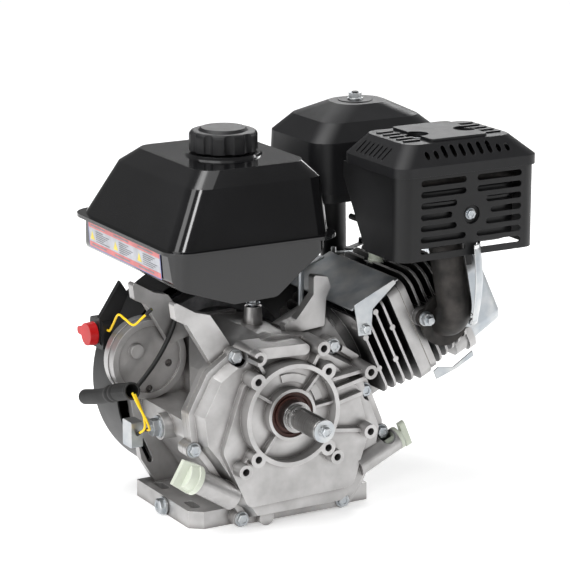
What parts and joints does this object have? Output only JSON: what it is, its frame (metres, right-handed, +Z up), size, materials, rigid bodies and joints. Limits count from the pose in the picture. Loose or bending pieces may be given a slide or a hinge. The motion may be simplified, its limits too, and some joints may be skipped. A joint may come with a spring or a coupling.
{
  "type": "small gasoline engine",
  "caption": "Air-cooled overhead-valve petrol engine with a slanted cylinder and horizontal keyed output shaft, complete with tank, air cleaner and muffler.",
  "frame": {"origin": "centre of the four base slots, on the plane the feet stand on", "axes": "+X along the output shaft, out of the engine; +Z up; +Y towards the cylinder head"},
  "size_m": [0.3978, 0.4615, 0.4495],
  "materials": {
    "cast_aluminium": "satin, bead-blasted casting",
    "machined_steel": "turned and ground",
    "zinc_steel": "bright zinc plated",
    "cast_iron": "rough casting",
    "gloss_black_paint": "high gloss",
    "satin_black_paint": "satin, heat resistant",
    "black_plastic": "fine texture",
    "cream_plastic": "smooth",
    "red_plastic": "smooth",
    "yellow_lead": "smooth PVC",
    "black_lead": "smooth PVC",
    "rubber": "matte",
    "seal_rubber": "matte",
    "gasket": "pressed fibre",
    "filter_foam": "open foam",
    "dark_iron_oxide": "dark oxide"
  },
  "bodies": {
    "engine": {"air_cleaner_base": "black_plastic", "air_cleaner_cover": "black_plastic", "air_cleaner_nut": "zinc_steel", "black_lead": "black_lead", "blower_housing": "satin_black_paint", "carburettor": "cast_aluminium", "connecting_rod": "cast_aluminium", "cover_gasket": "gasket", "crankcase": "cast_aluminium", "crankcase_cover": "cast_aluminium", "cylinder_head": "cast_aluminium", "drain_bolts": "zinc_steel", "exhaust_nuts": "zinc_steel", "exhaust_pipe": "dark_iron_oxide", "filter_element": "filter_foam", "flange_bolts_m6": "zinc_steel", "flange_bolts_m8": "zinc_steel", "fuel_hose": "rubber", "fuel_tank_lower": "gloss_black_paint", "fuel_tank_upper": "gloss_black_paint", "fuel_valve": "black_plastic", "guard_top_cover": "black_plastic", "head_gasket": "gasket", "ignition_coil": "black_plastic", "insulator_block": "black_plastic", "main_bearings": "machined_steel", "muffler_body": "satin_black_paint", "muffler_guard": "satin_black_paint", "oil_level_switch": "zinc_steel", "oil_seals": "seal_rubber", "piston": "cast_aluminium", "piston_pin_and_rings": "machined_steel", "plug_cap": "rubber", "recoil_cover": "satin_black_paint", "rocker_arms": "machined_steel", "rocker_cover": "zinc_steel", "sheet_shrouds": "zinc_steel", "spark_plug": "cream_plastic", "starter_boss_cover": "cast_aluminium", "switch_plate": "satin_black_paint", "tappets_and_pushrods": "machined_steel", "valves_and_springs": "machined_steel", "wiring_sleeve": "rubber", "yellow_leads": "yellow_lead"},
    "crank": {"crankshaft": "machined_steel", "shaft_end_bolt": "zinc_steel", "flywheel": "cast_iron", "cooling_fan": "black_plastic", "starter_cup_and_nut": "zinc_steel"},
    "cam": {"camshaft": "machined_steel"},
    "fuel_cap": {"fuel_cap": "black_plastic"},
    "oil_cap_front": {"oil_cap_front": "cream_plastic"},
    "oil_cap_rear": {"oil_cap_rear": "cream_plastic"},
    "switch_knob": {"switch_knob": "red_plastic"},
    "throttle_lever": {"throttle_lever": "zinc_steel"},
    "choke_lever": {"choke_lever": "black_plastic"},
    "fuel_lever": {"fuel_valve_lever": "black_plastic"},
    "governor_arm": {"governor_arm": "zinc_steel"},
    "starter_grip": {"starter_grip": "black_plastic"},
    "starter_reel": {"starter_reel": "black_plastic"}
  },
  "joints": [
    {"name": "crank_spin", "type": "hinge", "parent": "engine", "child": "crank", "pos_m": [0, -0.011, 0.132], "axis": [1, 0, 0], "continuous": true, "deforming": ["connecting_rod", "tappets_and_pushrods"]},
    {"name": "cam_spin", "type": "hinge", "parent": "engine", "child": "cam", "pos_m": [0, 0.03528, 0.07684], "axis": [1, 0, 0], "continuous": true},
    {"name": "fuel_cap_lift", "type": "slide", "parent": "engine", "child": "fuel_cap", "axis": [0, 0, 1], "range_m": [0, 0.05]},
    {"name": "oil_cap_front_pull", "type": "slide", "parent": "engine", "child": "oil_cap_front", "axis": [0, -0.8624, 0.5062], "range_m": [0, 0.045]},
    {"name": "oil_cap_rear_pull", "type": "slide", "parent": "engine", "child": "oil_cap_rear", "axis": [0, 0.9236, 0.3834], "range_m": [0, 0.045]},
    {"name": "switch_turn", "type": "hinge", "parent": "engine", "child": "switch_knob", "pos_m": [-0.089, -0.155, 0.196], "axis": [0, -1, 0], "range_deg": [0, 90]},
    {"name": "throttle_turn", "type": "hinge", "parent": "engine", "child": "throttle_lever", "pos_m": [-0.068, 0.18041, 0.255], "axis": [0, 0, 1], "range_deg": [-25, 25]},
    {"name": "choke_turn", "type": "hinge", "parent": "engine", "child": "choke_lever", "pos_m": [-0.088, 0.18041, 0.255], "axis": [0, 0, 1], "range_deg": [-45, 15]},
    {"name": "fuel_lever_turn", "type": "hinge", "parent": "engine", "child": "fuel_lever", "pos_m": [-0.1603, -0.04, 0.243], "axis": [1, 0, 0], "range_deg": [0, 90]},
    {"name": "governor_turn", "type": "hinge", "parent": "engine", "child": "governor_arm", "pos_m": [0.01, 0.058, 0.268], "axis": [0, 0, 1], "range_deg": [-10, 10]},
    {"name": "starter_pull", "type": "slide", "parent": "engine", "child": "starter_grip", "axis": [0, 1, 0], "range_m": [0, 0.6], "stiffness_N_per_m": 20},
    {"name": "reel_turn", "type": "hinge", "parent": "engine", "child": "starter_reel", "pos_m": [0, -0.011, 0.132], "axis": [1, 0, 0], "range_deg": [-575, 0]}
  ],
  "couplings": [
    {"joint": "cam_spin", "follows": "crank_spin", "ratio": -0.5},
    {"joint": "reel_turn", "follows": "starter_pull", "rad_per_m": -16.667}
  ]
}
